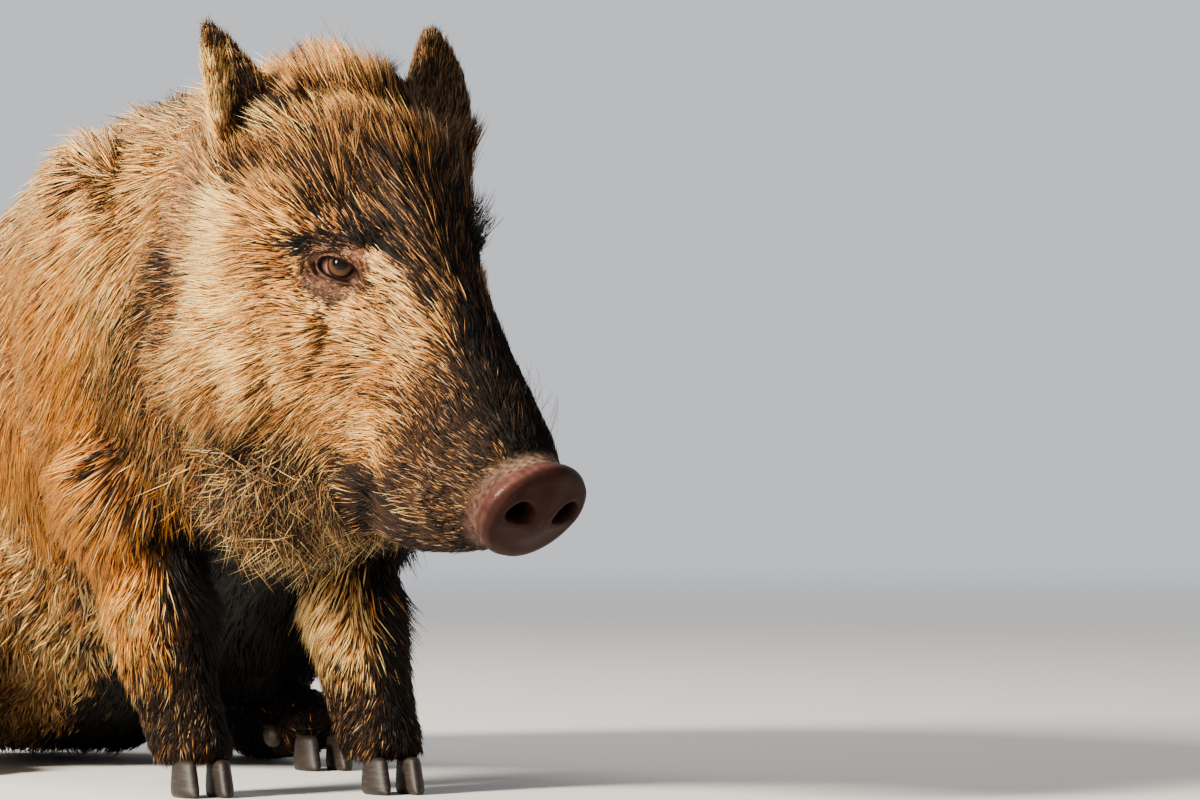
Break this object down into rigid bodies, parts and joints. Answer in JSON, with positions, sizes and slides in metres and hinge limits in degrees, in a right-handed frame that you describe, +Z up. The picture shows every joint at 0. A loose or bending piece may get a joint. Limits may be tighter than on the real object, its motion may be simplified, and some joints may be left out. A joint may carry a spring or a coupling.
{
  "type": "wild boar",
  "caption": "Still life-size wild boar in winter coat, sitting low on its haunches with forelegs braced, head lowered and turned to its left.",
  "frame": {"origin": "on the floor, under the middle of the whole boar's bounding rectangle", "axes": "+Z up, the trunk faces -Y, the boar's left side is +X"},
  "size_m": [0.373, 1.1136, 0.5513],
  "materials": {
    "coat": "coarse bristly fur, dark at the root and tan at the tip",
    "snout_skin": "bare moist skin",
    "eye": "wet gloss",
    "horn": "worn horn"
  },
  "bodies": {
    "root": {"head": "coat", "lower_jaw": "coat", "snout_disc": "snout_skin", "ear_right": "coat", "ear_left": "coat", "eye_right": "eye", "eye_left": "eye", "neck": "coat", "trunk_front": "coat", "trunk_rear": "coat", "tail": "coat", "foreleg_right": "coat", "foreleg_left": "coat", "hindleg_right": "coat", "hindleg_left": "coat", "hoof_fore_right_outer": "horn", "hoof_fore_right_inner": "horn", "hoof_fore_left_outer": "horn", "hoof_fore_left_inner": "horn", "hoof_hind_right_outer": "horn", "hoof_hind_right_inner": "horn", "hoof_hind_left_outer": "horn", "hoof_hind_left_inner": "horn", "dewclaw_fore_right_outer": "horn", "dewclaw_fore_right_inner": "horn", "dewclaw_fore_left_outer": "horn", "dewclaw_fore_left_inner": "horn", "dewclaw_hind_right_outer": "horn", "dewclaw_hind_right_inner": "horn", "dewclaw_hind_left_outer": "horn", "dewclaw_hind_left_inner": "horn"}
  },
  "joints": []
}
